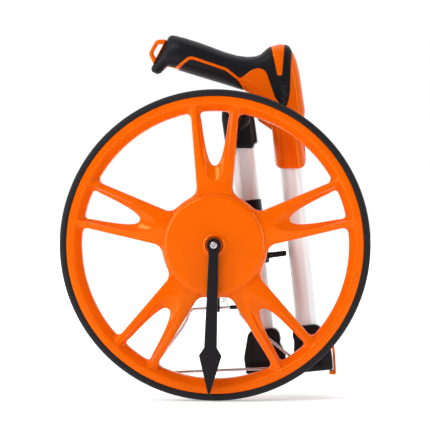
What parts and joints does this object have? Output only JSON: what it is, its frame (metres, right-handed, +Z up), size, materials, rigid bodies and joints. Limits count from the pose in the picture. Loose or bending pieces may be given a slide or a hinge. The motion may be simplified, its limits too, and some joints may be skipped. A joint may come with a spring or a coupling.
{
  "type": "measuring wheel",
  "caption": "Folding distance measuring wheel: spoked wheel with tyre, geared counter, folding telescopic tube, pistol grip with hanging loop, wire bail and pointer.",
  "frame": {"origin": "middle of the bounding box at the ground under the wheel; the tyre touches z = 0", "axes": "+X to the right when the wheel's open side faces the viewer, +Y from the wheel towards the folded tubes (the wheel's axle runs along Y), +Z up"},
  "size_m": [0.3184, 0.105, 0.3788],
  "materials": {
    "orange_plastic": "smooth moulded orange with a soft gloss",
    "black_plastic": "fine textured black",
    "soft_overmould": "soft-touch black",
    "tyre_rubber": "plain black rubber",
    "satin_aluminium": "satin anodised tube",
    "bright_steel": "bright zinc plated",
    "white_plastic": "white",
    "nylon": "natural nylon",
    "clear_lens": "clear"
  },
  "bodies": {
    "frame": {"frame_arm": "black_plastic", "counter_housing": "black_plastic", "counter_window": "clear_lens", "housing_screw_1": "bright_steel", "housing_screw_2": "bright_steel", "housing_screw_3": "bright_steel", "drum_shaft": "bright_steel", "idler_pin": "bright_steel", "axle": "bright_steel", "axle_nut": "bright_steel", "axle_washer": "bright_steel", "pointer_bolt": "bright_steel", "fold_bolt": "bright_steel", "fold_nut": "bright_steel", "bail_spring": "bright_steel"},
    "measuring_wheel": {"wheel": "orange_plastic", "tyre": "tyre_rubber", "front_bush": "nylon", "rear_bush": "nylon", "wheel_gear": "nylon"},
    "idler": {"idler_gear": "nylon"},
    "drum_1": {"drum_gear": "nylon", "digit_drum_1": "white_plastic"},
    "drum_2": {"digit_drum_2": "white_plastic"},
    "drum_3": {"digit_drum_3": "white_plastic"},
    "drum_4": {"digit_drum_4": "white_plastic"},
    "drum_5": {"digit_drum_5": "white_plastic"},
    "reset": {"reset_lever": "orange_plastic"},
    "pointer": {"pointer": "black_plastic"},
    "upper_tube": {"fold_head": "black_plastic", "outer_tube": "satin_aluminium", "lock_collar": "black_plastic", "lock_pin": "bright_steel"},
    "clamp_lever": {"lock_lever": "black_plastic"},
    "sliding_tube": {"inner_tube": "satin_aluminium", "tube_guide": "nylon", "fold_joint_tube_half": "black_plastic", "joint_pin": "bright_steel"},
    "handle": {"fold_joint_handle_half": "black_plastic", "latch_pin": "bright_steel", "handle_tube": "satin_aluminium", "grip_body": "orange_plastic", "grip_overmould": "soft_overmould", "grip_stripe": "orange_plastic", "grip_pad": "soft_overmould", "grip_wedge": "orange_plastic", "hanging_loop": "orange_plastic", "grip_screw_1": "bright_steel", "grip_screw_2": "bright_steel"},
    "latch": {"fold_latch": "orange_plastic"},
    "bail": {"bail": "bright_steel"}
  },
  "joints": [
    {"name": "wheel_spin", "type": "hinge", "parent": "frame", "child": "measuring_wheel", "pos_m": [0, -0.0045, 0.15915], "axis": [0, 1, 0], "continuous": true},
    {"name": "pointer_turn", "type": "hinge", "parent": "frame", "child": "pointer", "pos_m": [0, -0.0045, 0.15915], "axis": [0, 1, 0], "continuous": true},
    {"name": "idler_spin", "type": "hinge", "parent": "frame", "child": "idler", "pos_m": [-0.01473, -0.0005, 0.15915], "axis": [0, 1, 0], "continuous": true},
    {"name": "drum_1_spin", "type": "hinge", "parent": "frame", "child": "drum_1", "pos_m": [-0.02945, 0.0155, 0.15915], "axis": [0, 1, 0], "continuous": true},
    {"name": "drum_2_spin", "type": "hinge", "parent": "frame", "child": "drum_2", "pos_m": [-0.02945, 0.0155, 0.15915], "axis": [0, 1, 0], "continuous": true},
    {"name": "drum_3_spin", "type": "hinge", "parent": "frame", "child": "drum_3", "pos_m": [-0.02945, 0.0155, 0.15915], "axis": [0, 1, 0], "continuous": true},
    {"name": "drum_4_spin", "type": "hinge", "parent": "frame", "child": "drum_4", "pos_m": [-0.02945, 0.0155, 0.15915], "axis": [0, 1, 0], "continuous": true},
    {"name": "drum_5_spin", "type": "hinge", "parent": "frame", "child": "drum_5", "pos_m": [-0.02945, 0.0155, 0.15915], "axis": [0, 1, 0], "continuous": true},
    {"name": "counter_reset", "type": "hinge", "parent": "frame", "child": "reset", "pos_m": [-0.02945, 0.0375, 0.15915], "axis": [0, 1, 0], "range_deg": [0, 35], "stiffness_Nm_per_rad": 0.02},
    {"name": "upper_fold", "type": "hinge", "parent": "frame", "child": "upper_tube", "pos_m": [0.0217, 0.0315, 0.29], "axis": [0, -1, 0], "range_deg": [0, 163]},
    {"name": "clamp_lever_turn", "type": "hinge", "parent": "upper_tube", "child": "clamp_lever", "pos_m": [0.0572, 0.0315, 0.1478], "axis": [0, 1, 0], "range_deg": [0, 90]},
    {"name": "tube_slide", "type": "slide", "parent": "upper_tube", "child": "sliding_tube", "axis": [0.1179, 0, -0.993], "range_m": [-0.055, 0.01]},
    {"name": "lower_fold", "type": "hinge", "parent": "sliding_tube", "child": "handle", "pos_m": [0.0757, 0.0315, 0.026], "axis": [0, 1, 0], "range_deg": [0, 179]},
    {"name": "latch_turn", "type": "hinge", "parent": "handle", "child": "latch", "pos_m": [0.1146, 0.0315, 0.0605], "axis": [0, -1, 0], "range_deg": [0, 60]},
    {"name": "bail_swing", "type": "hinge", "parent": "frame", "child": "bail", "pos_m": [-0.00035, -0.0045, 0.0934], "axis": [0.9989, 0, 0.0479], "range_deg": [-4, 14], "stiffness_Nm_per_rad": 0.02}
  ],
  "couplings": [
    {"joint": "idler_spin", "follows": "wheel_spin", "ratio": -1.8182},
    {"joint": "drum_1_spin", "follows": "wheel_spin", "ratio": 1},
    {"joint": "drum_2_spin", "follows": "wheel_spin", "ratio": 0.1},
    {"joint": "drum_3_spin", "follows": "wheel_spin", "ratio": 0.01},
    {"joint": "drum_4_spin", "follows": "wheel_spin", "ratio": 0.001},
    {"joint": "drum_5_spin", "follows": "wheel_spin", "ratio": 0.0001}
  ]
}
